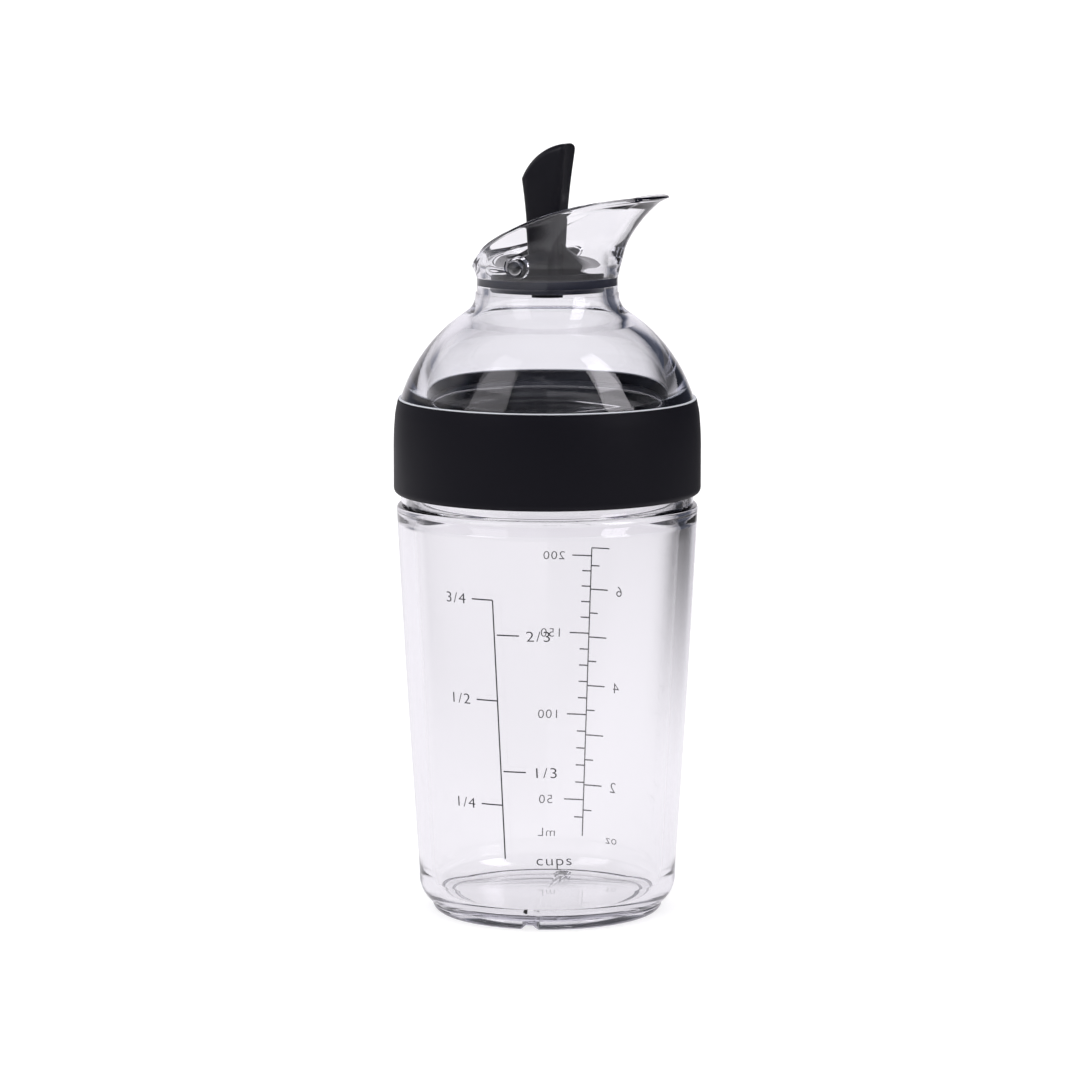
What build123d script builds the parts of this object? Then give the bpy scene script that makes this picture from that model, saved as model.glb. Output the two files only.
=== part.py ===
"""Salad dressing shaker bottle: a tapered clear cup with a screw-on lid.

The lid is a clear dome that carries a soft grip collar and ends in a pouring spout. A lever on
a cross pin closes the spout with a tilting stopper. The origin is at the centre of the foot,
+Z is up and the spout points along +X. All sizes are in millimetres.
"""
import os
from math import atan, atan2, pi, tan

from build123d import *

os.makedirs("parts", exist_ok=True)

# Cup: foot
foot_r = 25.7
foot_height = 2.2
foot_draft = 0.9
foot_ring_width = 2.6
foot_recess = 1.2
notch_width = 3.9
notch_top_width = 1.6
notch_azimuth = -72
notch_count = 2

# Cup: body
body_height = 95.0
heel_inset = 0.5
heel_height = 6.3
side_base_r = 29.75
side_bulge = 0.2
side_top_r = 34.8
shoulder_round = 1.3
wall_top = 4.1
wall_base = 3.5
floor_thickness = 2.8
floor_round = 4.0

# Cup: threaded neck
neck_inset = 3.4
neck_wall = 1.9
neck_height = 19.0
neck_slope = 5.0
neck_slope_rise = 0.9
slope_round = 6.0
rim_round = 0.7

# Screw thread, two starts
thread_starts = 2
thread_pitch = 5.0
thread_depth = 0.9
thread_root_width = 2.2
thread_crest_width = 1.0
thread_turns = 0.8
thread_sink = 0.4
thread_start_height = 5.0
thread_gap = 0.3
thread_play = 0.3

# Lid: skirt, gasket seat and dome
skirt_gap = 0.6
skirt_wall = 1.1
gasket_thickness = 1.6
gasket_gap = 0.3
gasket_round = 0.3
lip_width = 1.0
lip_drop = 0.9
dome_height = 24.55
dome_bead_width = 0.6
dome_bead_height = 0.35
dome_bulge = 2.6
dome_end_drop = 3.1
dome_wall = 2.4
dome_inner_bulge = 4.0
dome_inner_foot_drop = 2.3
throat_round = 5.0
throat_round_limit_share = 0.98
throat_inner_round = 6.5
throat_step = 0.3

# Grip collar
collar_lift = 1.85
collar_height = 21.6
collar_thickness = 1.65
collar_fit = 0.05
collar_top_band = 2.6
collar_mid_inset = 0.45
collar_top_inset = 1.0
collar_bottom_round = 1.5

# Spout
spout_neck_r = 16.2
spout_neck_height = 3.4
spout_rise = 21.4
spout_back_r = 17.4
spout_front_r = 32.4
spout_height_shares = (0.0, 0.16, 0.38, 0.61, 0.80, 1.0)
spout_front_shares = (0.0, 0.05, 0.15, 0.37, 0.63, 1.0)
spout_back_shares = (0.0, 0.85, 1.0, 1.1, 1.15, 1.2)
spout_wall = 2.1
rim_back_rise = 4.8
rim_mid_x = 2.0
rim_mid_rise = 14.2
rim_tip_rise = 20.0
rim_tip_x = 31.0
rim_edge_round = 0.4

# Stopper seal, plate and lever
pivot_lift = 6.8
seal_drop = 5.0
seal_r = 13.4
seal_fit = 0.1
seal_bottom_inset = 0.9
seal_bottom_drop = 1.2
plate_r = 12.9
plate_thickness = 1.7
plate_drop = 1.3
plate_edge_round = 0.4
stud_r = 2.5
stud_fit = 0.05
stud_head_r = 3.6
stud_head_height = 1.0
hub_r = 1.9
hub_end_gap = 0.3
bell_r = 12.2
bell_neck_r = 3.3
bell_height = 9.5
bell_bow = 2.0
blade_height = 27.6
blade_width = 6.5
blade_base_back = 4.0
blade_mid_back = 4.35
blade_top_back = 5.5
blade_base_front = 3.6
blade_mid_front = 4.05
blade_top_front = 6.4
blade_mid_share = 0.36
blade_edge_round = 1.5
crown_back_drop = 8.4
crown_mid_x = -1.5
crown_mid_drop = 3.0
crown_back_round = 1.0
crown_front_round = 1.3
scoop_r = 6.5
scoop_depth = 1.15
scoop_height = 15.0
scoop_face_x = 4.3

# Hinge pin and its bosses
pin_r = 1.2
pin_running_gap = 0.05
pin_fit = 0.02
pin_head_r = 1.8
pin_head_height = 0.8
pin_head_dome = 0.3
pin_end_inset = 1.4
boss_r = 2.3
boss_inner_y = 13.2
boss_sink = 1.0

# Overrun of every cut beyond the face that it opens
overrun = 2.0

# Heights of the stack, from the foot upwards
rim_z = body_height + neck_height
skirt_z = body_height + skirt_gap
gasket_top_z = rim_z + gasket_thickness
lip_z = gasket_top_z - lip_drop
collar_z = skirt_z + collar_lift
collar_top_z = collar_z + collar_height
bead_z = collar_top_z + collar_fit
dome_foot_z = bead_z + dome_bead_height
dome_top_z = collar_top_z + dome_height
spout_base_z = dome_top_z + spout_neck_height
spout_top_z = spout_base_z + spout_rise
pivot_z = dome_top_z + pivot_lift
seat_z = pivot_z - seal_drop
plate_top_z = pivot_z - plate_drop
plate_z = plate_top_z - plate_thickness
seal_z = seat_z - seal_bottom_drop
crown_z = pivot_z + blade_height
thread_z = body_height + thread_start_height
flank_rise = (thread_root_width - thread_crest_width) / thread_depth
thread_offset = thread_root_width - flank_rise * (thread_depth + thread_gap) / 2 + thread_play

# Radii of the stack, from the cup's side to the grip
foot_side_r = foot_r + foot_draft
heel_r = foot_side_r + heel_inset
heel_z = foot_height + heel_height
neck_r = side_top_r - neck_inset
neck_bore_r = neck_r - neck_wall
skirt_bore_r = neck_r + thread_depth + thread_gap
skirt_r = skirt_bore_r + skirt_wall
collar_bore_r = skirt_r + collar_fit
collar_r = collar_bore_r + collar_thickness
bead_r = skirt_r + dome_bead_width
gasket_bore_r = neck_bore_r + gasket_gap
gasket_r = skirt_bore_r - gasket_gap
lip_r = gasket_bore_r - gasket_gap
lip_bore_r = lip_r - lip_width
seat_r = seal_r + seal_fit
ball_r = (seat_r**2 + seal_drop**2) ** 0.5
seal_ball_r = (seal_r**2 + seal_drop**2) ** 0.5
pin_head_y = spout_back_r - boss_sink
pin_end_y = spout_back_r - pin_end_inset
hub_y = boss_inner_y - hub_end_gap


def corners(*points):
    """Corners of the sketch being drawn that lie at the given points."""
    return [vertices().sort_by_distance(point)[0] for point in points]


def thread(radius, z, outward):
    """One start of the thread: a tapered rib along a helix, rooted in the wall at radius."""
    sink = -thread_sink if outward else thread_sink
    depth = thread_depth if outward else -thread_depth
    lead = thread_pitch * thread_starts
    with BuildPart() as rib:
        with BuildLine() as helix:
            Helix(pitch=lead, height=lead * thread_turns, radius=radius, center=(0, 0, z))
        start = Plane(origin=helix.line @ 0, x_dir=(1, 0, 0), z_dir=helix.line % 0)
        with BuildSketch(start):
            with BuildLine():
                Polyline(
                    (sink, -thread_root_width / 2),
                    (0, -thread_root_width / 2),
                    (depth, -thread_crest_width / 2),
                    (depth, thread_crest_width / 2),
                    (0, thread_root_width / 2),
                    (sink, thread_root_width / 2),
                    close=True,
                )
            make_face()
        sweep(path=helix.line, is_frenet=True)
    return rib.part


def spout_loft(sections):
    """Solid through level sections (z, back, front): half round behind, half oval in front."""
    with BuildPart() as body:
        for z, back, front in sections:
            with BuildSketch(Plane.XY.offset(z)):
                with BuildLine():
                    CenterArc((0, 0), back, 90, 180)
                    EllipticalCenterArc((0, 0), front, back, start_angle=-90, arc_size=180)
                make_face()
        loft()
    return body.part


# Container
neck_thread = thread(neck_r, thread_z, True)
with BuildPart() as container:
    foot_in_r = foot_r - foot_ring_width
    floor_z = foot_recess + floor_thickness
    bore_top_r = side_top_r - wall_top
    bore_base_r = side_base_r - wall_base
    slope_top_z = body_height + neck_slope_rise
    slope_z = slope_top_z - neck_slope
    mid_z = (heel_z + body_height) / 2
    side_mid_r = (side_base_r + side_top_r) / 2 + side_bulge
    bore_mid_r = (bore_base_r + bore_top_r) / 2 + side_bulge
    foot_mid = (foot_r + foot_draft * 0.75, foot_height * 0.25)
    heel_mid = (heel_r + (side_base_r - heel_r) * 0.72, foot_height + heel_height * 0.36)
    with BuildSketch(Plane.XZ):
        with BuildLine():
            Polyline((0, foot_recess), (foot_in_r - foot_recess, foot_recess), (foot_in_r, 0), (foot_r, 0))
            ThreePointArc((foot_r, 0), foot_mid, (foot_side_r, foot_height))
            Line((foot_side_r, foot_height), (heel_r, foot_height))
            ThreePointArc((heel_r, foot_height), heel_mid, (side_base_r, heel_z))
            ThreePointArc((side_base_r, heel_z), (side_mid_r, mid_z), (side_top_r, body_height))
            Polyline((side_top_r, body_height), (neck_r, body_height), (neck_r, rim_z))
            Line((neck_r, rim_z), (neck_bore_r, rim_z))
            Polyline((neck_bore_r, rim_z), (neck_bore_r, slope_top_z), (bore_top_r, slope_z))
            ThreePointArc((bore_top_r, slope_z), (bore_mid_r, mid_z), (bore_base_r, floor_z))
            Polyline((bore_base_r, floor_z), (0, floor_z), (0, foot_recess))
        make_face()
        fillet(corners((bore_base_r, floor_z)), radius=floor_round)
        fillet(corners((side_top_r, body_height)), radius=shoulder_round)
        fillet(corners((neck_r, rim_z), (neck_bore_r, rim_z)), radius=rim_round)
        fillet(corners((neck_bore_r, slope_top_z), (bore_top_r, slope_z)), radius=slope_round)
    revolve(axis=Axis.Z)
    for turn in range(notch_count):
        with BuildSketch(Plane.XZ.rotated((0, 0, notch_azimuth + 90 + turn * 180))):
            with BuildLine():
                Polyline(
                    (-notch_width / 2, -overrun),
                    (-notch_width / 2, 0),
                    (-notch_top_width / 2, foot_recess),
                    (notch_top_width / 2, foot_recess),
                    (notch_width / 2, 0),
                    (notch_width / 2, -overrun),
                    close=True,
                )
            make_face()
        extrude(amount=foot_side_r + overrun, mode=Mode.SUBTRACT)
    with PolarLocations(0, thread_starts):
        add(neck_thread)
container.part.label = "container"
export_step(container.part, "parts/container.step")

# Gasket: a flat silicone ring between the cup's rim and the ledge inside the lid
with BuildPart() as lid_gasket:
    with BuildSketch(Plane.XZ):
        with BuildLine():
            Polyline(
                (gasket_bore_r, rim_z),
                (gasket_r, rim_z),
                (gasket_r, gasket_top_z),
                (gasket_bore_r, gasket_top_z),
                close=True,
            )
        make_face()
        fillet(vertices(), radius=gasket_round)
    revolve(axis=Axis.Z)
lid_gasket.part.label = "lid_gasket"
export_step(lid_gasket.part, "parts/lid_gasket.step")

# Dome: skirt, clear dome, throat and spout in one moulding
lid_thread = thread(skirt_bore_r, thread_z - thread_offset, False)
spout_sections = [
    (
        spout_base_z + spout_rise * height_share,
        spout_neck_r + (spout_back_r - spout_neck_r) * back_share,
        spout_neck_r + (spout_front_r - spout_neck_r) * front_share,
    )
    for height_share, back_share, front_share
    in zip(spout_height_shares, spout_back_shares, spout_front_shares)
]
bore_sections = [(pivot_z, ball_r, ball_r)] + [
    (z, back - spout_wall, front - spout_wall)
    for z, back, front in spout_sections
    if z > pivot_z + boss_r
]
spout_outside = spout_loft(spout_sections)
spout_inside = spout_loft(bore_sections)
with BuildPart() as dome:
    dome_end_z = dome_top_z - dome_end_drop
    dome_in_z = dome_foot_z - dome_inner_foot_drop
    throat_in_z = dome_end_z - dome_wall
    ball_mid_r = (ball_r**2 - (seal_drop / 2) ** 2) ** 0.5
    throat_r = spout_neck_r + throat_step
    dome_chord = Vector(skirt_r - throat_r, dome_end_z - dome_foot_z)
    chord_angle = atan2(dome_chord.Y, dome_chord.X)
    throat_turn = pi / 2 - chord_angle + 2 * atan(2 * dome_bulge / dome_chord.length)
    throat_round_limit = throat_round_limit_share * dome_end_drop / tan(throat_turn / 2)
    with BuildSketch(Plane.XZ):
        with BuildLine():
            Polyline((0, skirt_z), (skirt_r, skirt_z), (skirt_r, bead_z), (bead_r, bead_z))
            Polyline((bead_r, bead_z), (bead_r, dome_foot_z), (skirt_r, dome_foot_z))
            SagittaArc((skirt_r, dome_foot_z), (throat_r, dome_end_z), -dome_bulge)
            Polyline(
                (throat_r, dome_end_z),
                (throat_r, dome_top_z),
                (spout_neck_r, dome_top_z),
                (spout_neck_r, spout_base_z),
                (0, spout_base_z),
                (0, skirt_z),
            )
        make_face()
        fillet(corners((throat_r, dome_end_z)), radius=min(throat_round, throat_round_limit))
    revolve(axis=Axis.Z)
    add(spout_outside)
    with BuildSketch(Plane.XZ):
        with BuildLine():
            Polyline(
                (0, skirt_z),
                (skirt_bore_r, skirt_z),
                (skirt_bore_r, gasket_top_z),
                (lip_r, gasket_top_z),
                (lip_r, lip_z),
                (lip_bore_r, lip_z),
                (lip_bore_r, dome_in_z),
            )
            SagittaArc((lip_bore_r, dome_in_z), (seat_r, throat_in_z), -dome_inner_bulge)
            Line((seat_r, throat_in_z), (seat_r, seat_z))
            ThreePointArc((seat_r, seat_z), (ball_mid_r, pivot_z - seal_drop / 2), (ball_r, pivot_z))
            Polyline((ball_r, pivot_z), (0, pivot_z), (0, skirt_z))
        make_face()
        fillet(corners((seat_r, throat_in_z)), radius=throat_inner_round)
    revolve(axis=Axis.Z, mode=Mode.SUBTRACT)
    add(spout_inside, mode=Mode.SUBTRACT)
    with BuildSketch(Plane.XZ):
        with BuildLine():
            rim_back = (-spout_back_r, spout_base_z + rim_back_rise)
            rim_mid = (rim_mid_x, spout_base_z + rim_mid_rise)
            rim_tip = (rim_tip_x, spout_base_z + rim_tip_rise)
            Line((rim_back[0] - overrun, rim_back[1]), rim_back)
            ThreePointArc(rim_back, rim_mid, rim_tip)
            Polyline(
                rim_tip,
                (rim_tip[0] + overrun, rim_tip[1]),
                (rim_tip[0] + overrun, spout_top_z + overrun),
                (rim_back[0] - overrun, spout_top_z + overrun),
                (rim_back[0] - overrun, rim_back[1]),
            )
        make_face()
    extrude(amount=spout_back_r + overrun, both=True, mode=Mode.SUBTRACT)
    rim_faces = dome.faces().filter_by(GeomType.CYLINDER).sort_by(lambda face: face.radius)
    fillet(rim_faces[-1].edges(), radius=rim_edge_round)
    for side in (-1, 1):
        with BuildSketch(Plane.XZ.offset(side * boss_inner_y)):
            with Locations((0, pivot_z)):
                Circle(boss_r)
        extrude(amount=side * (pin_head_y - boss_inner_y))
    with BuildSketch(Plane.XZ.offset(pin_head_y)):
        with Locations((0, pivot_z)):
            Circle(boss_r)
    extrude(amount=overrun, mode=Mode.SUBTRACT)
    with BuildSketch(Plane.XZ.offset(pin_head_y)):
        with Locations((0, pivot_z)):
            Circle(pin_r + pin_fit)
    extrude(amount=-(pin_head_y + pin_end_y), mode=Mode.SUBTRACT)
    with BuildSketch(Plane.XZ.offset(pin_head_y)):
        with Locations((0, pivot_z)):
            Circle(pin_head_r + pin_fit)
    extrude(amount=-pin_head_height, mode=Mode.SUBTRACT)
    with PolarLocations(0, thread_starts):
        add(lid_thread)
dome.part.label = "dome"
export_step(dome.part, "parts/dome.step")

# Grip collar: a soft sleeve round the skirt
with BuildPart() as grip_collar:
    with BuildSketch(Plane.XZ):
        with BuildLine():
            collar_mid_z = (collar_z + collar_top_z) / 2
            band_z = collar_top_z - collar_top_band
            band_r = collar_r - collar_mid_inset
            Polyline((collar_bore_r, collar_z), (collar_r, collar_z), (collar_r, collar_mid_z))
            band_mid = (collar_r - collar_mid_inset / 4, (collar_mid_z + band_z) / 2)
            ThreePointArc((collar_r, collar_mid_z), band_mid, (band_r, band_z))
            Polyline(
                (band_r, band_z),
                (collar_r - collar_top_inset, collar_top_z),
                (collar_bore_r, collar_top_z),
                (collar_bore_r, collar_z),
            )
        make_face()
        fillet(corners((collar_r, collar_z)), radius=collar_bottom_round)
        fillet(corners((band_r, band_z)), radius=collar_top_band)
    revolve(axis=Axis.Z)
grip_collar.part.label = "grip_collar"
export_step(grip_collar.part, "parts/grip_collar.step")

# Hinge pin: a headed steel pin across the spout
with BuildPart() as hinge_pin:
    with BuildSketch(Plane.XZ.offset(pin_head_y - pin_head_height)):
        with Locations((0, pivot_z)):
            Circle(pin_r)
    extrude(amount=-(pin_head_y - pin_head_height + pin_end_y))
    with BuildSketch(Plane.XZ.offset(pin_head_y - pin_head_height)):
        with Locations((0, pivot_z)):
            Circle(pin_head_r)
    extrude(amount=pin_head_height)
    head_face = hinge_pin.faces().sort_by(Axis.Y)[0]
    fillet(head_face.edges(), radius=pin_head_dome)
hinge_pin.part.label = "hinge_pin"
export_step(hinge_pin.part, "parts/hinge_pin.step")

# Lever: blade, cross hub, bell and plate in one moulding
with BuildPart() as lever:
    blade_mid_z = pivot_z + blade_height * blade_mid_share
    crown_back = (-blade_top_back, crown_z - crown_back_drop)
    crown_mid = (crown_mid_x, crown_z - crown_mid_drop)
    crown_front = (blade_top_front, crown_z)
    blade_back = (-blade_base_back, plate_top_z)
    blade_front = (blade_base_front, plate_top_z)
    with BuildSketch(Plane.XZ):
        with BuildLine():
            Line(blade_front, blade_back)
            ThreePointArc(blade_back, (-blade_mid_back, blade_mid_z), crown_back)
            ThreePointArc(crown_back, crown_mid, crown_front)
            ThreePointArc(crown_front, (blade_mid_front, blade_mid_z), blade_front)
        make_face()
        fillet(corners(crown_back), radius=crown_back_round)
        fillet(corners(crown_front), radius=crown_front_round)
    extrude(amount=blade_width / 2, both=True)
    blade_sides = lever.faces().filter_by(Axis.Y)
    fillet(blade_sides.edges().filter_by(lambda e: e.center().Z > pivot_z), radius=blade_edge_round)
    scoop_base = Vector(scoop_face_x + scoop_r, 0, crown_z - scoop_height)
    scoop_top = Vector(blade_top_front - scoop_depth + scoop_r, 0, crown_z)
    with BuildSketch(Plane(origin=scoop_base, z_dir=scoop_top - scoop_base)):
        Circle(scoop_r)
    extrude(amount=scoop_height + overrun, mode=Mode.SUBTRACT)
    with BuildSketch(Plane.XZ.offset(-hub_y)):
        with Locations((0, pivot_z)):
            Circle(hub_r)
    extrude(amount=2 * hub_y)
    with BuildSketch(Plane.XZ):
        with BuildLine():
            bell_z = plate_top_z + bell_height
            bell_mid = ((bell_neck_r + bell_r) / 2 - bell_bow, (plate_top_z + bell_z) / 2 - bell_bow)
            Polyline((0, plate_top_z), (bell_r, plate_top_z))
            ThreePointArc((bell_r, plate_top_z), bell_mid, (bell_neck_r, bell_z))
            Polyline((bell_neck_r, bell_z), (0, bell_z), (0, plate_top_z))
        make_face()
    revolve(axis=Axis.Z, revolution_arc=180)
    with BuildSketch(Plane.XZ):
        with BuildLine():
            Polyline(
                (0, plate_top_z),
                (plate_r, plate_top_z),
                (plate_r, plate_z),
                (stud_r, plate_z),
                (stud_r, seal_z),
                (stud_head_r, seal_z),
                (stud_head_r, seal_z - stud_head_height),
                (0, seal_z - stud_head_height),
                close=True,
            )
        make_face()
        fillet(corners((plate_r, plate_top_z)), radius=plate_edge_round)
    revolve(axis=Axis.Z)
    with BuildSketch(Plane.XZ.offset(-hub_y)):
        with Locations((0, pivot_z)):
            Circle(pin_r + pin_running_gap)
    extrude(amount=2 * hub_y, mode=Mode.SUBTRACT)
lever.part.label = "lever"
export_step(lever.part, "parts/lever.step")

# Stopper seal: a silicone disc held under the plate by the stud, with an edge round like its seat
with BuildPart() as stopper_seal:
    with BuildSketch(Plane.XZ):
        with BuildLine():
            seal_top_drop = pivot_z - plate_z
            seal_mid_drop = (seal_drop + seal_top_drop) / 2
            seal_mid_r = (seal_ball_r**2 - seal_mid_drop**2) ** 0.5
            seal_top_r = (seal_ball_r**2 - seal_top_drop**2) ** 0.5
            ThreePointArc((seal_r, seat_z), (seal_mid_r, pivot_z - seal_mid_drop), (seal_top_r, plate_z))
            Polyline(
                (seal_top_r, plate_z),
                (stud_r + stud_fit, plate_z),
                (stud_r + stud_fit, seal_z),
                (seal_r - seal_bottom_inset, seal_z),
                (seal_r, seat_z),
            )
        make_face()
    revolve(axis=Axis.Z)
stopper_seal.part.label = "stopper_seal"
export_step(stopper_seal.part, "parts/stopper_seal.step")
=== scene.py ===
import math

import bmesh
import bpy
from mathutils import Matrix, Vector


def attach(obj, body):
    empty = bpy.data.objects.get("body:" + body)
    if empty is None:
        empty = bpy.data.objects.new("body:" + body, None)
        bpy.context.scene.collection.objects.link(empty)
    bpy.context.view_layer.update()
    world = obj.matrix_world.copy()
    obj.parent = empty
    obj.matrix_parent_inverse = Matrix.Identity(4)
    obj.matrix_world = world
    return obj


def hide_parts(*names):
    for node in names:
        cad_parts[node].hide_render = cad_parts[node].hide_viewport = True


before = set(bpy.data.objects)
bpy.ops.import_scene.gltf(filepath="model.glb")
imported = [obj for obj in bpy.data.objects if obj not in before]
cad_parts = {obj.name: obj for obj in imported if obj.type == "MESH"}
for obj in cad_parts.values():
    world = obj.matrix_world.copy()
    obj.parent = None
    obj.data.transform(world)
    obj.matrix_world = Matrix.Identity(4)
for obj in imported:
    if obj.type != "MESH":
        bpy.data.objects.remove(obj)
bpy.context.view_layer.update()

MM = 0.001
TAU = 2 * math.pi

# How finely round pieces are turned
SEGMENTS = 256
BAR_SEGMENTS = 64
ARC_STEPS = 24
EASE_STEPS = 8
SHARP_ANGLE = math.radians(32)
MERGE_DISTANCE = 0.0005 * MM
WALL_DISTANCE = 2 * MERGE_DISTANCE

# Cup: foot, body and neck. A bow is how far out and up its way the middle of an arc stands
FOOT_R = 25.7 * MM
FOOT_HEIGHT = 2.2 * MM
FOOT_DRAFT = 0.9 * MM
FOOT_BOW = (0.75, 0.25)
FOOT_RING_WIDTH = 2.6 * MM
FOOT_RECESS = 1.2 * MM
NOTCH_WIDTH = 3.9 * MM
NOTCH_TOP_WIDTH = 1.6 * MM
NOTCH_AZIMUTH = math.radians(-72)
NOTCH_COUNT = 2
NOTCH_REACH = 1.1 * FOOT_RECESS
BODY_HEIGHT = 95 * MM
HEEL_INSET = 0.5 * MM
HEEL_HEIGHT = 6.3 * MM
HEEL_BOW = (0.72, 0.36)
SIDE_BASE_R = 29.75 * MM
SIDE_BULGE = 0.2 * MM
SIDE_TOP_R = 34.8 * MM
SHOULDER_ROUND = 1.3 * MM
WALL_TOP = 4.1 * MM
WALL_BASE = 3.5 * MM
FLOOR_THICKNESS = 2.8 * MM
FLOOR_ROUND = 4.0 * MM
NECK_INSET = 3.4 * MM
NECK_WALL = 1.9 * MM
NECK_HEIGHT = 19 * MM
NECK_SLOPE = 5.0 * MM
NECK_SLOPE_RISE = 0.9 * MM
SLOPE_ROUND = 0.7 * MM
RIM_ROUND = 0.7 * MM

# Screw thread
THREAD_STARTS = 2
THREAD_LEAD = 10 * MM
THREAD_DEPTH = 0.9 * MM
THREAD_ROOT_WIDTH = 2.2 * MM
THREAD_CREST_WIDTH = 1.0 * MM
THREAD_TURNS = 0.8
THREAD_START_HEIGHT = 5.0 * MM
THREAD_GAP = 0.3 * MM
THREAD_OFFSET = 1.7 * MM
THREAD_FADE = 0.03
THREAD_ROWS = 100
THREAD_MARGIN = 0.2 * MM

# Lid: skirt, dome and throat
SKIRT_GAP = 0.6 * MM
SKIRT_WALL = 1.1 * MM
GASKET_THICKNESS = 1.6 * MM
LIP_WIDTH = 1.0 * MM
LIP_DROP = 0.9 * MM
COLLAR_LIFT = 1.85 * MM
COLLAR_HEIGHT = 21.6 * MM
COLLAR_THICKNESS = 1.65 * MM
COLLAR_FIT = 0.05 * MM
COLLAR_BOND = 0.03 * MM
COLLAR_TOP_BAND = 2.6 * MM
COLLAR_MID_INSET = 0.45 * MM
COLLAR_TOP_INSET = 1.0 * MM
COLLAR_BOTTOM_ROUND = 1.5 * MM
DOME_HEIGHT = 24.55 * MM
BEAD_WIDTH = 0.6 * MM
BEAD_HEIGHT = 0.35 * MM
BEAD_GAP = 0.1 * MM
BEAD_ROUND = 0.12 * MM
DOME_BULGE = 2.6 * MM
DOME_END_DROP = 3.1 * MM
DOME_WALL = 2.4 * MM
DOME_INNER_BULGE = 4.0 * MM
DOME_INNER_FOOT_DROP = 2.3 * MM
THROAT_EASE = 2.9 * MM
THROAT_INNER_EASE = 6.8 * MM
THROAT_STEP = 0.3 * MM

# Spout
SPOUT_NECK_R = 16.2 * MM
SPOUT_NECK_HEIGHT = 3.4 * MM
SPOUT_RISE = 21.4 * MM
SPOUT_BACK_R = 17.4 * MM
SPOUT_FRONT_R = 32.4 * MM
SPOUT_HEIGHT_SHARES = (0.0, 0.16, 0.38, 0.61, 0.80, 1.0)
SPOUT_FRONT_SHARES = (0.0, 0.05, 0.15, 0.37, 0.63, 1.0)
SPOUT_BACK_SHARES = (0.0, 0.85, 1.0, 1.1, 1.15, 1.2)
SPOUT_WALL = 2.1 * MM
SPOUT_ROWS = 28
RIM_BACK_RISE = 1.6 * MM
RIM_MID_X = 2.0 * MM
RIM_MID_RISE = 13.4 * MM
RIM_TIP_RISE = 19.7 * MM
RIM_TIP_X = 31.0 * MM
RIM_EDGE_ROUND = 0.95 * MM
RIM_EDGE_SEGMENTS = 6
RIM_ROW = 1.7 * MM
RIM_ANGLE = math.radians(30)
RIM_PASSES = 12
INNER_DROP = 2.4 * MM

# Stopper, pin and bosses
PIVOT_LIFT = 6.8 * MM
SEAL_DROP = 5.0 * MM
SEAL_PRESS = 0.03 * MM
SEAL_BOTTOM_INSET = 0.9 * MM
SEAL_BOTTOM_DROP = 1.2 * MM
SEAL_ROUND = 0.3 * MM
PLATE_DROP = 3.0 * MM
STUD_R = 2.55 * MM
SEAT_R = 13.5 * MM
BOSS_R = 2.3 * MM
BOSS_INNER_Y = 13.2 * MM
BOSS_SINK = 1.0 * MM
PIN_HOLE_R = 1.22 * MM
PIN_HEAD_HOLE_R = 1.82 * MM
PIN_HEAD_HEIGHT = 0.8 * MM
PIN_END_INSET = 1.4 * MM

# Heights and radii of the stack
RIM_Z = BODY_HEIGHT + NECK_HEIGHT
SKIRT_Z = BODY_HEIGHT + SKIRT_GAP
GASKET_TOP_Z = RIM_Z + GASKET_THICKNESS
LIP_Z = GASKET_TOP_Z - LIP_DROP
COLLAR_Z = SKIRT_Z + COLLAR_LIFT
COLLAR_TOP_Z = COLLAR_Z + COLLAR_HEIGHT
BEAD_Z = COLLAR_TOP_Z + COLLAR_FIT
DOME_FOOT_Z = BEAD_Z + BEAD_HEIGHT
DOME_TOP_Z = COLLAR_TOP_Z + DOME_HEIGHT
SPOUT_BASE_Z = DOME_TOP_Z + SPOUT_NECK_HEIGHT
PIVOT_Z = DOME_TOP_Z + PIVOT_LIFT
SEAT_Z = PIVOT_Z - SEAL_DROP
THREAD_Z = BODY_HEIGHT + THREAD_START_HEIGHT
NECK_R = SIDE_TOP_R - NECK_INSET
NECK_BORE_R = NECK_R - NECK_WALL
SKIRT_BORE_R = NECK_R + THREAD_DEPTH + THREAD_GAP
SKIRT_R = SKIRT_BORE_R + SKIRT_WALL
COLLAR_BORE_R = SKIRT_R + COLLAR_FIT
COLLAR_R = COLLAR_BORE_R + COLLAR_THICKNESS
LIP_R = NECK_BORE_R
LIP_BORE_R = LIP_R - LIP_WIDTH
BALL_R = math.hypot(SEAT_R, SEAL_DROP)
INNER_R = math.sqrt(BALL_R**2 - INNER_DROP**2)
HEEL_Z = FOOT_HEIGHT + HEEL_HEIGHT

# Printed scales: ink, lines and words. The digit share is a digit's height in a font of size 1
INK_PROUD = 0.03 * MM
INK_THICKNESS = 0.03 * MM
LINE_WIDTH = 0.3 * MM
LINE_STEP = 1.5 * MM
DIGIT_SHARE = 0.73
WORD_THINNING = -0.010
WORD_SPACING = 1.12
WORD_WIDTH = 1.22

# The scale in cups: its line (two heights, two azimuths), its marks, and how far across they stand
CUPS_LINE = (17.2 * MM, 77.0 * MM, math.radians(-81.3), math.radians(-84.3))
CUPS_TICK = 5.2 * MM
CUPS_DIGIT = 2.5 * MM
CUPS_LEFT_MARKS = (("3/4", 77.05 * MM), ("1/2", 53.9 * MM), ("1/4", 29.7 * MM))
CUPS_LEFT_WORD = 4.5 * MM
CUPS_RIGHT_MARKS = (("2/3", 69.1 * MM), ("1/3", 37.6 * MM))
CUPS_RIGHT_WORD = 5.0 * MM
CUPS_RIGHT_START = 0.6 * MM
CUPS_UNIT = ("cups", 17.2 * MM, 11.2 * MM)

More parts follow.
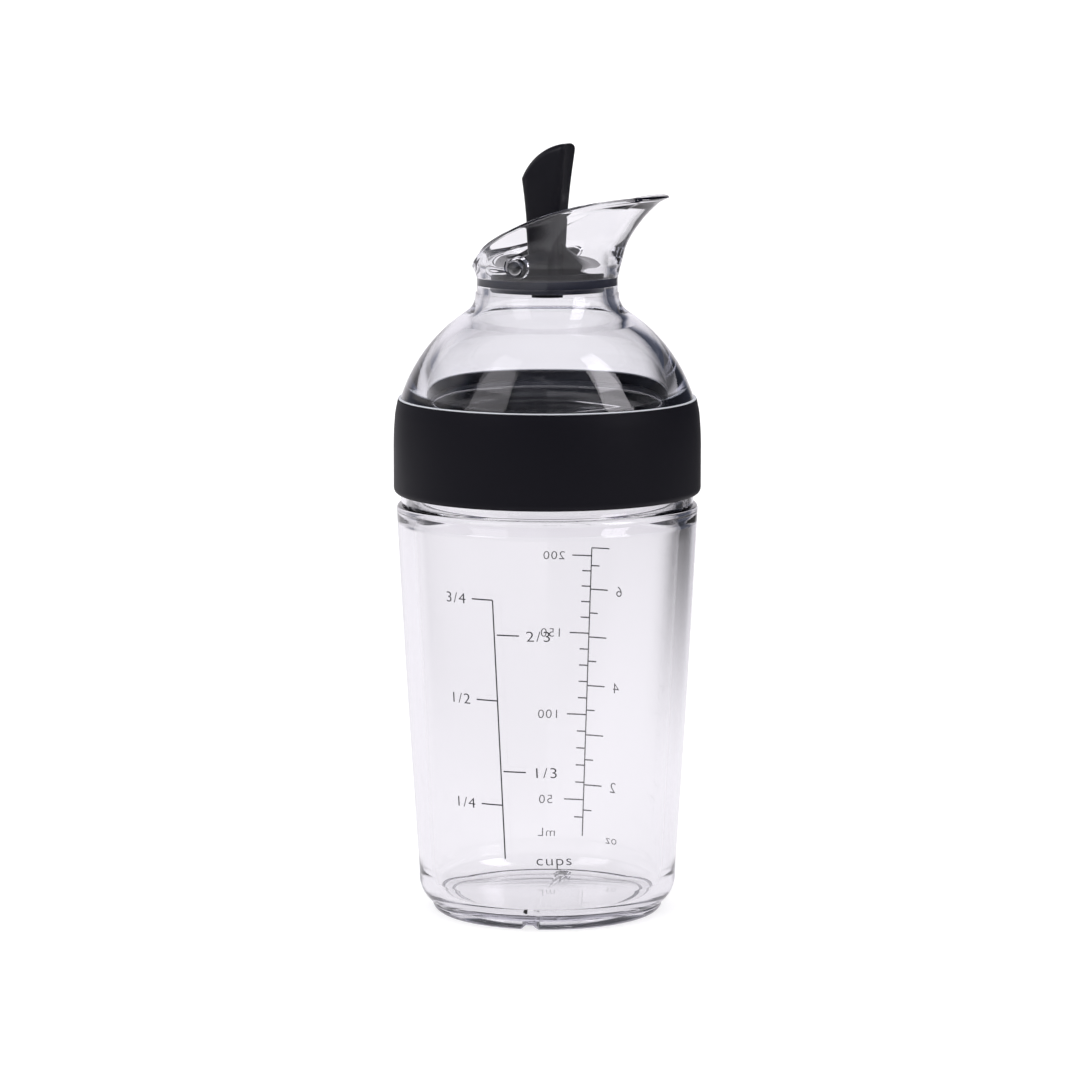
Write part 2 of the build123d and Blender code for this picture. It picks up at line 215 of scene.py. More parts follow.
# The scale in millilitres and ounces: the same, and the base, rise and bend of its marks' heights
VOLUME_LINE = (11.5 * MM, 80.2 * MM, math.radians(99.4), math.radians(97.2))
ML_MARKS = range(200, 39, -10)
ML_WORD_STEP = 50
ML_HEIGHTS = (-1.12, 21.757, -0.485)
ML_TICK = 2.4 * MM
ML_LONG_TICK = 5.2 * MM
ML_DIGIT = 2.15 * MM
ML_WORD = 9.9 * MM
ML_UNIT = ("mL", 12.3 * MM, 9.4 * MM)
HALF_OUNCE_MARKS = range(3, 14)
HALF_OUNCE_WORDS = (12, 8, 4)
OUNCE_HEIGHTS = (-0.72, 12.42, -0.0984)
OUNCE_TICK = 2.3 * MM
OUNCE_LONG_TICK = 5.0 * MM
OUNCE_DIGIT = 1.2 * ML_DIGIT
OUNCE_WORD = 8.5 * MM
OUNCE_UNIT = ("oz", 11.3 * MM, -8.5 * MM)

# Camera, from the photograph's view
CAMERA_AZIMUTH = math.radians(27)
CAMERA_PITCH = math.radians(8.15)
CAMERA_DISTANCE = 1.102
AIM_HEIGHT = 86.2 * MM
LENS = 159.0
SENSOR_WIDTH = 36
CLIP_START = 0.05
CLIP_END = 100
FRAME_SIDE = 1080
AXIS_COLUMN = 547.3

# Floor: its colour and lift for the camera, and its share and glow in the pieces
FLOOR_DROP = 0.1 * MM
FLOOR_SIDE = 40.0
FLOOR_COLOR = (0.95, 0.95, 0.95, 1)
FLOOR_LIFT = 0.2
FLOOR_SHARE = 0.38
FLOOR_GLOW = 0.61
FLOOR_GLOW_COLOR = (0.94, 0.92, 0.96, 1)

# Room: its even light on the pieces, the level of its walls, and the sines of the angles from and
# to which they turn dark, at the ceiling, which leans, and in front, over the horizon
DIFFUSE_LEVEL = 0.62
ROOM_LEVEL = 0.92
CEILING_LEAN = 0.12
CEILING_LOW = 0.32
CEILING_HIGH = 0.60
CEILING_LEVEL = 0.03
HORIZON_EDGE = 0.03
FRONT_START = -0.1
FRONT_END = 0.3
WHITE = (1, 1, 1, 1)
BLACK = (0, 0, 0, 1)

# The room's right and left side: azimuths from straight back where each starts to darken and is
# darkest, how dark it is there, and how far out the floor there starts and ends to darken
RIGHT_SIDE = (12, 28, 0.12, 150 * MM, 600 * MM)
LEFT_SIDE = (-20, -42, 0.3, 350 * MM, 1500 * MM)

# Higher up the left side is bright again: sines of the heights from and to, and the level
LEFT_HIGH = (0.05, 0.25, 0.85)

# The floor in front: how far out it starts and ends to darken, and how dark it is there
FLOOR_FRONT = (350 * MM, 800 * MM, 0.06)

# The room's colour where it is bright, where it is dark, and the level from which it is bright
ROOM_TINT = (0.975, 0.945, 1, 1)
DARK_TINT = (0.62, 0.7, 1, 1)
TINT_LEVEL = 0.6

# Lamps that shine in the pieces: azimuths from the camera, sines of their heights, and levels
LAMP_PANELS = (
    (-70, -34, 0.16, 0.86, 1.7),
    (-32, 48, 0.16, 0.86, 0.25),
    (48, 74, 0.16, 0.86, 4.8),
)
PANEL_EDGE = 0.03

# Suns: azimuth from the front, height over the floor, level and width in the sky
KEY_SUN = (-25, 50, 0.42, 40)
FILL_SUN = (120, 40, 0.1, 50)

# How often the light may bounce
CLEAR_BOUNCES = 24
GLOSSY_BOUNCES = 12


def circle_through(start, middle, end):
    """The centre of the circle through three points, seen from start. The third number is under 0
    where the way bends to the right."""
    ax, az = middle[0] - start[0], middle[1] - start[1]
    bx, bz = end[0] - start[0], end[1] - start[1]
    cross = 2 * (ax * bz - az * bx)
    a2, b2 = ax * ax + az * az, bx * bx + bz * bz
    return (bz * a2 - az * b2) / cross, (ax * b2 - bx * a2) / cross, cross


def arc(start, middle, end, steps=ARC_STEPS):
    """Points after start on the circle through the three points, up to and with end."""
    cx, cz, cross = circle_through(start, middle, end)
    radius = math.hypot(cx, cz)
    first = math.atan2(-cz, -cx)
    turn = (math.atan2(end[1] - start[1] - cz, end[0] - start[0] - cx) - first) % TAU
    if cross < 0:
        turn -= TAU
    return [
        (
            start[0] + cx + radius * math.cos(first + turn * i / steps),
            start[1] + cz + radius * math.sin(first + turn * i / steps),
        )
        for i in range(1, steps + 1)
    ]


def bulged(start, end, bulge):
    """A point that stands off the middle of the way from start to end by bulge, to its right."""
    dx, dz = end[0] - start[0], end[1] - start[1]
    length = math.hypot(dx, dz)
    middle = ((start[0] + end[0]) / 2, (start[1] + end[1]) / 2)
    return middle[0] + dz / length * bulge, middle[1] - dx / length * bulge


def along(points, index, step, reach):
    """The point that lies reach along the line from points[index], and the index beyond it."""
    here = Vector(points[index])
    while True:
        there = Vector(points[index + step])
        length = (there - here).length
        if length > reach:
            return tuple(here + (there - here) * reach / length), index + step
        reach -= length
        here = there
        index += step


def eased(points, index, reach):
    """The same points with the corner at index turned into a curve that starts reach before it."""
    before, last = along(points, index, -1, reach)
    after, first = along(points, index, 1, reach)
    corner = points[index]
    curve = []
    for i in range(EASE_STEPS + 1):
        t = i / EASE_STEPS
        weighted = list(zip(((1 - t) ** 2, 2 * t * (1 - t), t * t), (before, corner, after)))
        curve.append(tuple(sum(weight * point[k] for weight, point in weighted) for k in (0, 1)))
    return points[: last + 1] + curve + points[first:]


def outline(start, *runs):
    """An outline in (radius, height). Each run is its end point, how far the corner there is eased,
    and for an arc a point on the way."""
    points, corners = [start], []
    for run in runs:
        if len(run) == 3:
            points += arc(points[-1], run[2], run[0])
        else:
            points.append(run[0])
        corners.append((len(points) - 1, run[1]))
    for index, reach in reversed(corners):
        if reach:
            points = eased(points, index, reach)
    return points


def turned(points, closed, rows=None):
    """A bmesh turned round the axis from an outline. rows is the radius of a straight wall and how
    many rows the wall's longest run is divided into."""
    bm = bmesh.new()
    verts = [bm.verts.new((r, 0, z)) for r, z in points]
    pairs = list(zip(verts, verts[1:])) + ([(verts[-1], verts[0])] if closed else [])
    edges = [bm.edges.new(pair) for pair in pairs]
    if rows:
        radius, count = rows
        wall = [e for e in edges if all(abs(v.co.x - radius) < MERGE_DISTANCE for v in e.verts)]
        longest = max(wall, key=lambda e: e.calc_length())
        bmesh.ops.subdivide_edges(bm, edges=[longest], cuts=count - 1)
    bmesh.ops.spin(
        bm, geom=bm.verts[:] + bm.edges[:], cent=(0, 0, 0), axis=(0, 0, 1),
        angle=TAU, steps=SEGMENTS, use_merge=True,
    )
    bmesh.ops.remove_doubles(bm, verts=bm.verts, dist=MERGE_DISTANCE)
    bmesh.ops.recalc_face_normals(bm, faces=bm.faces)
    return bm


def axis_reach(vert):
    """How far a vertex stands from the axis."""
    return math.hypot(vert.co.x, vert.co.y)


def raise_thread(bm, radius, start_z, outward):
    """Moves the wall at radius out or in where the thread's ribs run."""
    wall = [v for v in bm.verts if abs(axis_reach(v) - radius) < WALL_DISTANCE]
    flank = (THREAD_ROOT_WIDTH - THREAD_CREST_WIDTH) / 2
    for vert in wall:
        lift = 0.0
        for start in range(THREAD_STARTS):
            turn = (math.atan2(vert.co.y, vert.co.x) / TAU - start / THREAD_STARTS) % 1
            off = abs(vert.co.z - start_z - THREAD_LEAD * turn)
            end = min(turn, THREAD_TURNS - turn) / THREAD_FADE
            share = min((THREAD_ROOT_WIDTH / 2 - off) / flank, end, 1)
            lift = max(lift, share * THREAD_DEPTH)
        scale = 1 + (lift if outward else -lift) / radius
        vert.co.x *= scale
        vert.co.y *= scale


def soften(mesh, low_r, high_r, low_z, high_z):
    """Takes the sharp edges off the thread between two radii and two heights."""
    low_r, high_r = low_r - MERGE_DISTANCE, high_r + MERGE_DISTANCE
    low_z, high_z = low_z + THREAD_MARGIN, high_z - THREAD_MARGIN
    soft = [low_r < axis_reach(v) < high_r and low_z < v.co.z < high_z for v in mesh.vertices]
    for edge in mesh.edges:
        if all(soft[index] for index in edge.vertices):
            edge.use_edge_sharp = False


def mesh_of(name, bm):
    """A mesh of a finished bmesh."""
    mesh = bpy.data.meshes.new(name)
    bm.to_mesh(mesh)
    bm.free()
    return mesh


def add_object(name, data):
    """A new object in the scene."""
    obj = bpy.data.objects.new(name, data)
    bpy.context.scene.collection.objects.link(obj)
    return obj


def piece(name, mesh, body, material, replaced=(), thread=None):
    """Makes an object of a mesh, smooth but for its sharp edges, and puts it on its body. thread is
    the two radii and two heights between which the thread is smooth too."""
    mesh.shade_smooth()
    mesh.set_sharp_from_angle(angle=SHARP_ANGLE)
    if thread:
        soften(mesh, *thread)
    mesh.materials.clear()
    mesh.materials.append(material)
    obj = add_object(name, mesh)
    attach(obj, body)
    if replaced:
        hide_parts(*replaced)
    return obj


def boolean(mesh, tool, operation):
    """The mesh with the bmesh tool joined to it or cut from it."""
    objects = [add_object("work", mesh), add_object("tool", mesh_of("tool", tool))]
    modifier = objects[0].modifiers.new("boolean", "BOOLEAN")
    modifier.operation = operation
    modifier.solver = "EXACT"
    modifier.object = objects[1]
    bpy.context.view_layer.update()
    graph = bpy.context.evaluated_depsgraph_get()
    made = bpy.data.meshes.new_from_object(objects[0].evaluated_get(graph))
    for obj in objects:
        bpy.data.objects.remove(obj)
    return made


# Materials


def new_material(name):
    """A node material, its node tree and its Principled shader."""
    material = bpy.data.materials.new(name)
    material.use_nodes = True
    tree = material.node_tree
    return material, tree, tree.nodes["Principled BSDF"]


def add_noise(tree, scale, detail=3.0, roughness=0.5, mapping_scale=(1, 1, 1)):
    """A noise pattern on the piece's own coordinates."""
    coordinates = tree.nodes.new("ShaderNodeTexCoord")
    mapping = tree.nodes.new("ShaderNodeMapping")
    mapping.inputs["Scale"].default_value = mapping_scale
    noise = tree.nodes.new("ShaderNodeTexNoise")
    noise.inputs["Scale"].default_value = scale
    noise.inputs["Detail"].default_value = detail
    noise.inputs["Roughness"].default_value = roughness
    tree.links.new(coordinates.outputs["Object"], mapping.inputs["Vector"])
    tree.links.new(mapping.outputs["Vector"], noise.inputs["Vector"])
    return noise


def add_bump(tree, shader, height, strength, distance):
    """Bends the shader's normal by a height."""
    bump = tree.nodes.new("ShaderNodeBump")
    bump.inputs["Strength"].default_value = strength
    bump.inputs["Distance"].default_value = distance
    tree.links.new(height, bump.inputs["Height"])
    tree.links.new(bump.outputs["Normal"], shader.inputs["Normal"])
    return bump


def add_range(tree, value, low, high, socket):
    """Spreads a pattern from low to high into a socket."""
    spread = tree.nodes.new("ShaderNodeMapRange")
    spread.inputs["From Min"].default_value = 0.3
    spread.inputs["From Max"].default_value = 0.7
    spread.inputs["To Min"].default_value = low
    spread.inputs["To Max"].default_value = high
    tree.links.new(value, spread.inputs["Value"])
    tree.links.new(spread.outputs["Result"], socket)
    return spread


def clear_plastic(name, tint, density):
    """Clear moulded plastic: it darkens with its thickness and lets lamps shine through."""
    material, tree, shader = new_material(name)
    shader.inputs["Base Color"].default_value = (1, 1, 1, 1)
    shader.inputs["IOR"].default_value = 1.5
    shader.inputs["Transmission Weight"].default_value = 1.0
    haze = add_noise(tree, 70)
    add_range(tree, haze.outputs["Fac"], 0.008, 0.02, shader.inputs["Roughness"])
    path = tree.nodes.new("ShaderNodeLightPath")
    open_way = tree.nodes.new("ShaderNodeBsdfTransparent")
    open_way.inputs["Color"].default_value = (0.99, 0.99, 0.99, 1)
    mix = tree.nodes.new("ShaderNodeMixShader")
    absorb = tree.nodes.new("ShaderNodeVolumeAbsorption")
    absorb.inputs["Color"].default_value = tint
    absorb.inputs["Density"].default_value = density
    output = tree.nodes["Material Output"]
    tree.links.new(path.outputs["Is Shadow Ray"], mix.inputs["Fac"])
    tree.links.new(shader.outputs["BSDF"], mix.inputs[1])
    tree.links.new(open_way.outputs["BSDF"], mix.inputs[2])
    tree.links.new(mix.outputs["Shader"], output.inputs["Surface"])
    tree.links.new(absorb.outputs["Volume"], output.inputs["Volume"])
    return material


def rough_plastic():
    """Pale white plastic for the dome's edge over the collar. Its colour is a painted highlight,
    the line of light that this clear edge catches; its roughness and bumps vary a little.
    """
    material, tree, shader = new_material("lid_edge_painted_highlight")
    # Pale colour: a painted highlight in place of the light that the clear edge catches
    shader.inputs["Base Color"].default_value = (0.66, 0.68, 0.73, 1)
    shader.inputs["Specular IOR Level"].default_value = 0.4
    cloud = add_noise(tree, 160)
    add_range(tree, cloud.outputs["Fac"], 0.3, 0.45, shader.inputs["Roughness"])
    add_bump(tree, shader, cloud.outputs["Fac"], 0.1, 0.03 * MM)
    return material


def soft_grip():
    """Black soft-touch rubber with a fine grain."""
    material, tree, shader = new_material("soft_grip")
    shader.inputs["Base Color"].default_value = (0.0054, 0.005, 0.0084, 1)
    shader.inputs["Specular IOR Level"].default_value = 0.13
    grain = add_noise(tree, 2600, detail=4.0)
    add_bump(tree, shader, grain.outputs["Fac"], 0.25, 0.03 * MM)
    wear = add_noise(tree, 45, detail=4.0)
    add_range(tree, wear.outputs["Fac"], 0.46, 0.58, shader.inputs["Roughness"])
    return material


def black_plastic():
    """Satin black moulded plastic."""
    material, tree, shader = new_material("black_plastic")
    shader.inputs["Base Color"].default_value = (0.0105, 0.0102, 0.0138, 1)
    shader.inputs["Specular IOR Level"].default_value = 0.25
    grain = add_noise(tree, 1400)
    add_bump(tree, shader, grain.outputs["Fac"], 0.08, 0.02 * MM)
    wear = add_noise(tree, 90)
    add_range(tree, wear.outputs["Fac"], 0.20, 0.28, shader.inputs["Roughness"])
    return material


def silicone(name, color, low, high):
    """Satin silicone, faintly cloudy."""
    material, tree, shader = new_material(name)
    shader.inputs["Base Color"].default_value = color
    shader.inputs["Specular IOR Level"].default_value = 0.4
    cloud = add_noise(tree, 120)
    add_range(tree, cloud.outputs["Fac"], low, high, shader.inputs["Roughness"])
    add_bump(tree, shader, cloud.outputs["Fac"], 0.05, 0.05 * MM)
    return material


def steel():
    """Turned steel with fine rings round its length."""
    material, tree, shader = new_material("pin_steel")
    shader.inputs["Base Color"].default_value = (0.72, 0.72, 0.73, 1)
    shader.inputs["Metallic"].default_value = 1.0
    rings = add_noise(tree, 900, detail=2.0, mapping_scale=(1, 0.08, 1))
    add_range(tree, rings.outputs["Fac"], 0.10, 0.22, shader.inputs["Roughness"])
    add_bump(tree, shader, rings.outputs["Fac"], 0.1, 0.02 * MM)
    return material


def ink(name, color):
    """Printed ink, slightly uneven."""
    material, tree, shader = new_material(name)
    shader.inputs["Base Color"].default_value = color
    shader.inputs["Specular IOR Level"].default_value = 0.2
    speck = add_noise(tree, 3000, detail=2.0)
    add_range(tree, speck.outputs["Fac"], 0.45, 0.65, shader.inputs["Roughness"])
    return material


CLEAR_CUP = clear_plastic("clear_cup_plastic", (0.83, 0.825, 0.87, 1), 45)
CLEAR_LID = clear_plastic("clear_lid_plastic", (0.81, 0.82, 0.89, 1), 45)
# Pale plastic whose colour is a painted highlight on the dome's edge over the collar
PAINTED_EDGE_HIGHLIGHT = rough_plastic()
SOFT_GRIP = soft_grip()
BLACK_PLASTIC = black_plastic()
DARK_SILICONE = silicone("dark_silicone", (0.012, 0.015, 0.035, 1), 0.3, 0.42)
GASKET_SILICONE = silicone("gasket_silicone", (0.02, 0.022, 0.03, 1), 0.35, 0.5)
PIN_STEEL = steel()
INK = ink("scale_ink", (0.035, 0.035, 0.04, 1))


# Container


def cut_notches(bm):
    """Presses the drain notches up into the foot ring."""
    inner_r = FOOT_R - FOOT_RING_WIDTH - NOTCH_REACH
    slope = (NOTCH_WIDTH - NOTCH_TOP_WIDTH) / 2
    half, top = NOTCH_WIDTH / 2, NOTCH_TOP_WIDTH / 2
    for turn in range(NOTCH_COUNT):
        azimuth = NOTCH_AZIMUTH + turn * TAU / NOTCH_COUNT
        outward = Vector((math.cos(azimuth), math.sin(azimuth), 0))
        across = Vector((-outward.y, outward.x, 0))
        near = [
            f for f in bm.faces
            if all(v.co.z < FOOT_RECESS + MERGE_DISTANCE and v.co.dot(outward) > 0 for v in f.verts)
            and any(axis_reach(v) > inner_r for v in f.verts)
        ]
        for offset in (-half, -top, top, half):
            geometry = {g for f in near if f.is_valid for g in (f, *f.edges, *f.verts)}
            cut = bmesh.ops.bisect_plane(
                bm, geom=list(geometry), dist=MERGE_DISTANCE,
                plane_co=across * offset, plane_no=across,
            )
            made = [g for g in cut["geom"] if isinstance(g, bmesh.types.BMFace)]
            near = list(set([f for f in near if f.is_valid] + made))
        for vert in {v for f in near for v in f.verts}:
            share = min(max((half - abs(vert.co.dot(across))) / slope, 0), 1)
            vert.co.z = max(vert.co.z, share * FOOT_RECESS)


def make_container():
    """The cup: notched foot ring, heel, widening side, rounded shoulder and threaded neck."""
    foot_side_r = FOOT_R + FOOT_DRAFT
    heel_r = foot_side_r + HEEL_INSET
    foot_in_r = FOOT_R - FOOT_RING_WIDTH
    floor_z = FOOT_RECESS + FLOOR_THICKNESS
    bore_top_r = SIDE_TOP_R - WALL_TOP
    bore_base_r = SIDE_BASE_R - WALL_BASE
    slope_top_z = BODY_HEIGHT + NECK_SLOPE_RISE
    slope_z = slope_top_z - NECK_SLOPE
    mid_z = (HEEL_Z + BODY_HEIGHT) / 2
    side_mid_r = (SIDE_BASE_R + SIDE_TOP_R) / 2 + SIDE_BULGE
    bore_mid_r = (bore_base_r + bore_top_r) / 2 + SIDE_BULGE
    foot_mid = (FOOT_R + FOOT_DRAFT * FOOT_BOW[0], FOOT_HEIGHT * FOOT_BOW[1])
    heel_mid = (
        heel_r + (SIDE_BASE_R - heel_r) * HEEL_BOW[0],
        FOOT_HEIGHT + HEEL_HEIGHT * HEEL_BOW[1],
    )
    points = outline(
        (0, FOOT_RECESS),
        ((foot_in_r - FOOT_RECESS, FOOT_RECESS), 0),
        ((foot_in_r, 0), 0),
        ((FOOT_R, 0), 0),
        ((foot_side_r, FOOT_HEIGHT), 0, foot_mid),
        ((heel_r, FOOT_HEIGHT), 0),
        ((SIDE_BASE_R, HEEL_Z), 0, heel_mid),
        ((SIDE_TOP_R, BODY_HEIGHT), SHOULDER_ROUND, (side_mid_r, mid_z)),
        ((NECK_R, BODY_HEIGHT), 0),
        ((NECK_R, RIM_Z), RIM_ROUND),
        ((NECK_BORE_R, RIM_Z), RIM_ROUND),
        ((NECK_BORE_R, slope_top_z), SLOPE_ROUND),
        ((bore_top_r, slope_z), SLOPE_ROUND),
        ((bore_base_r, floor_z), FLOOR_ROUND, (bore_mid_r, mid_z)),
        ((0, floor_z), 0),
    )
    bm = turned(points, False, rows=(NECK_R, THREAD_ROWS))
    raise_thread(bm, NECK_R, THREAD_Z, True)
    cut_notches(bm)
    thread = (NECK_R, NECK_R + THREAD_DEPTH, BODY_HEIGHT, RIM_Z - RIM_ROUND)
    mesh = mesh_of("shaker_cup", bm)
    return piece("shaker_cup", mesh, "cup", CLEAR_CUP, ("container",), thread)


# Lid


def spline(table, z):
    """A smooth curve through the rows of a table (z, back, front), read at height z."""
    low = max((i for i, row in enumerate(table[:-1]) if row[0] <= z), default=0)
    rows = [table[max(low - 1, 0)], table[low], table[low + 1], table[min(low + 2, len(table) - 1)]]
    span = rows[2][0] - rows[1][0]
    t = (z - rows[1][0]) / span
    out = []
    for k in (1, 2):
        slope_a = (rows[2][k] - rows[0][k]) / max(rows[2][0] - rows[0][0], MERGE_DISTANCE) * span
        slope_b = (rows[3][k] - rows[1][k]) / max(rows[3][0] - rows[1][0], MERGE_DISTANCE) * span
        t2, t3 = t * t, t * t * t
        out.append(
            (2 * t3 - 3 * t2 + 1) * rows[1][k] + (t3 - 2 * t2 + t) * slope_a
            + (3 * t2 - 2 * t3) * rows[2][k] + (t3 - t2) * slope_b
        )
    return out


def ball_reach(drop, radius=BALL_R):
    """How far out the seat's ball reaches at drop under the pivot."""
    return math.sqrt(radius**2 - drop**2)


def make_dome():
    """The clear lid: threaded skirt, dome, throat and flared spout with the bosses of the pin."""
    throat_r = SPOUT_NECK_R + THROAT_STEP
    dome_end_z = DOME_TOP_Z - DOME_END_DROP
    dome_in_z = DOME_FOOT_Z - DOME_INNER_FOOT_DROP
    throat_in_z = dome_end_z - DOME_WALL
    mid_drop = (SEAL_DROP + INNER_DROP) / 2
    ball_mid = (ball_reach(mid_drop), PIVOT_Z - mid_drop)
    outside = [
        (
            SPOUT_BASE_Z + SPOUT_RISE * height,
            SPOUT_NECK_R + (SPOUT_BACK_R - SPOUT_NECK_R) * back,
            SPOUT_NECK_R + (SPOUT_FRONT_R - SPOUT_NECK_R) * front,
        )
        for height, back, front in zip(SPOUT_HEIGHT_SHARES, SPOUT_BACK_SHARES, SPOUT_FRONT_SHARES)
    ]
    inside = [
        (PIVOT_Z - drop, ball_reach(drop), ball_reach(drop))
        for drop in (INNER_DROP, INNER_DROP / 2, 0)
    ] + [
        (z, back - SPOUT_WALL, front - SPOUT_WALL)
        for z, back, front in outside if z > PIVOT_Z + BOSS_R
    ]
    mouth_z = outside[-1][0] + SPOUT_RISE
    dome_start, dome_end = (SKIRT_R, DOME_FOOT_Z), (throat_r, dome_end_z)
    inner_start, inner_end = (SEAT_R, throat_in_z), (LIP_BORE_R, dome_in_z)
    points = outline(
        (SKIRT_R, SKIRT_Z),
        ((SKIRT_R, DOME_FOOT_Z), 0),
        (dome_end, THROAT_EASE, bulged(dome_start, dome_end, DOME_BULGE)),
        ((throat_r, DOME_TOP_Z), 0),
        ((SPOUT_NECK_R, DOME_TOP_Z), 0),
        ((SPOUT_NECK_R, SPOUT_BASE_Z), 0),
        ((SPOUT_NECK_R, mouth_z), 0),
        ((INNER_R, mouth_z), 0),
        ((INNER_R, PIVOT_Z - INNER_DROP), 0),
        ((SEAT_R, SEAT_Z), 0, ball_mid),
        (inner_start, THROAT_INNER_EASE),
        (inner_end, 0, bulged(inner_start, inner_end, -DOME_INNER_BULGE)),
        ((LIP_BORE_R, LIP_Z), 0),
        ((LIP_R, LIP_Z), 0),
        ((LIP_R, GASKET_TOP_Z), 0),
        ((SKIRT_BORE_R, GASKET_TOP_Z), 0),
        ((SKIRT_BORE_R, SKIRT_Z), 0),
    )
    bm = turned(points, True, rows=(SKIRT_BORE_R, THREAD_ROWS))
    raise_thread(bm, SKIRT_BORE_R, THREAD_Z - THREAD_OFFSET, False)
    shape_spout(bm, outside, inside, mouth_z)
    mesh = mesh_of("spout_dome", bm)
    head_y = SPOUT_BACK_R - BOSS_SINK
    bosses = bar((BOSS_R, -head_y), (BOSS_R, -BOSS_INNER_Y))
    bar((BOSS_R, BOSS_INNER_Y), (BOSS_R, head_y), bm=bosses)
    mesh = boolean(mesh, bosses, "UNION")
    hole = bar(
        (BOSS_R, -head_y - 2 * BOSS_R), (BOSS_R, -head_y),
        (PIN_HEAD_HOLE_R, -head_y), (PIN_HEAD_HOLE_R, PIN_HEAD_HEIGHT - head_y),
        (PIN_HOLE_R, PIN_HEAD_HEIGHT - head_y), (PIN_HOLE_R, SPOUT_BACK_R - PIN_END_INSET),
    )
    mesh = boolean(mesh, hole, "DIFFERENCE")
    thread = (SKIRT_BORE_R - THREAD_DEPTH, SKIRT_BORE_R, SKIRT_Z, GASKET_TOP_Z)
    return piece("spout_dome", mesh, "lid", CLEAR_LID, ("dome",), thread)


def bar(*steps, bm=None):
    """A stepped round bar along Y through the pivot, from its steps (radius, y)."""
    bm = bm or bmesh.new()
    points = [(0, steps[0][1]), *steps, (0, steps[-1][1])]
    verts = [bm.verts.new((0, y, PIVOT_Z + r)) for r, y in points]
    edges = [bm.edges.new(pair) for pair in zip(verts, verts[1:])]
    bmesh.ops.spin(
        bm, geom=verts + edges, cent=(0, 0, PIVOT_Z), axis=(0, 1, 0),
        angle=TAU, steps=BAR_SEGMENTS, use_merge=True,
    )
    bmesh.ops.remove_doubles(bm, verts=bm.verts, dist=MERGE_DISTANCE)
    bmesh.ops.recalc_face_normals(bm, faces=bm.faces)
    return bm


def rim_height(x):
    """Height of the spout's slanted mouth over x: an arc in the side view."""
    back = (-SPOUT_BACK_R, SPOUT_BASE_Z + RIM_BACK_RISE)
    middle = (RIM_MID_X, SPOUT_BASE_Z + RIM_MID_RISE)
    tip = (RIM_TIP_X, SPOUT_BASE_Z + RIM_TIP_RISE)
    cx, cz, _ = circle_through(back, middle, tip)
    rise = cx * cx + cz * cz - (x - back[0] - cx) ** 2
    return back[1] + cz + math.sqrt(rise)


def section(table, z, angle):
    """A point of the spout's wall at height z: half round behind, half oval in front."""
    back, front = spline(table, z)
    reach = front if math.cos(angle) > 0 else back
    return reach * math.cos(angle), back * math.sin(angle)


def shape_spout(bm, outside, inside, mouth_z):
    """Divides the tube over the throat into rows and bends it into the flared, slanted spout."""
    walls = []
    for table, radius in ((outside, SPOUT_NECK_R), (inside, INNER_R)):
        low = table[0][0]
        edges = [
            e for e in bm.edges
            if all(abs(axis_reach(v) - radius) < WALL_DISTANCE for v in e.verts)
            and abs(e.verts[0].co.z - e.verts[1].co.z) > (mouth_z - low) / 2
        ]
        walls.append((table, radius, low, edges))
    for *_, edges in walls:
        bmesh.ops.subdivide_edges(bm, edges=edges, cuts=SPOUT_ROWS - 1, use_grid_fill=True)
    for table, radius, low, _ in walls:
        for vert in bm.verts:
            if vert.tag or vert.co.z <= low or abs(axis_reach(vert) - radius) > WALL_DISTANCE:
                continue
            vert.tag = True
            angle = math.atan2(vert.co.y, vert.co.x)
            top = low
            for _ in range(RIM_PASSES):
                x, y = section(table, top, angle)
                top = rim_height(min(max(x, -SPOUT_BACK_R), RIM_TIP_X))
            # The row under the mouth's own has share 1
            share = (vert.co.z - low) / (mouth_z - low) * SPOUT_ROWS / (SPOUT_ROWS - 1)
            z = low + (top - low - min(RIM_ROW, (top - low) / 2)) * share if share < 1.001 else top
            x, y = section(table, z, angle)
            vert.co = (x, y, z)
    rim = [
        e for e in bm.edges
        if all(v.tag for v in e.verts) and e.is_manifold and e.calc_face_angle() > RIM_ANGLE
    ]
    bmesh.ops.bevel(
        bm, geom=rim, offset=RIM_EDGE_ROUND, affect="EDGES", segments=RIM_EDGE_SEGMENTS,
        profile=0.5, material=-1, clamp_overlap=True,
    )


def make_collar():
    """The soft sleeve, bonded to the skirt: no air shows between them."""
    bond_r = SKIRT_R - COLLAR_BOND
    mid_z = (COLLAR_Z + COLLAR_TOP_Z) / 2
    band_z = COLLAR_TOP_Z - COLLAR_TOP_BAND
    band_r = COLLAR_R - COLLAR_MID_INSET
    side_mid = (COLLAR_R - COLLAR_MID_INSET / 4, (mid_z + band_z) / 2)
    points = outline(
        (bond_r, COLLAR_Z),
        ((COLLAR_R, COLLAR_Z), COLLAR_BOTTOM_ROUND),
        ((COLLAR_R, mid_z), 0),
        ((band_r, band_z), COLLAR_TOP_BAND / 4, side_mid),
        ((COLLAR_R - COLLAR_TOP_INSET, COLLAR_TOP_Z), 0),
        ((bond_r, COLLAR_TOP_Z), 0),
    )
    mesh = mesh_of("soft_collar", turned(points, True))
    return piece("soft_collar", mesh, "lid", SOFT_GRIP, ("grip_collar",))


def make_bead():
    """The thin edge of the dome over the collar, coloured pale white as a painted highlight for the
    light it catches.
    """
    bond_r = SKIRT_R - COLLAR_BOND
    points = outline(
        (bond_r, BEAD_Z + BEAD_GAP),
        ((SKIRT_R + BEAD_WIDTH, BEAD_Z + BEAD_GAP), BEAD_ROUND),
        ((SKIRT_R + BEAD_WIDTH, DOME_FOOT_Z), BEAD_ROUND),
        ((bond_r, DOME_FOOT_Z), 0),
    )
    mesh = mesh_of("dome_bead", turned(points, True))
    # Its pale white material is a painted highlight
    return piece("dome_bead", mesh, "lid", PAINTED_EDGE_HIGHLIGHT)


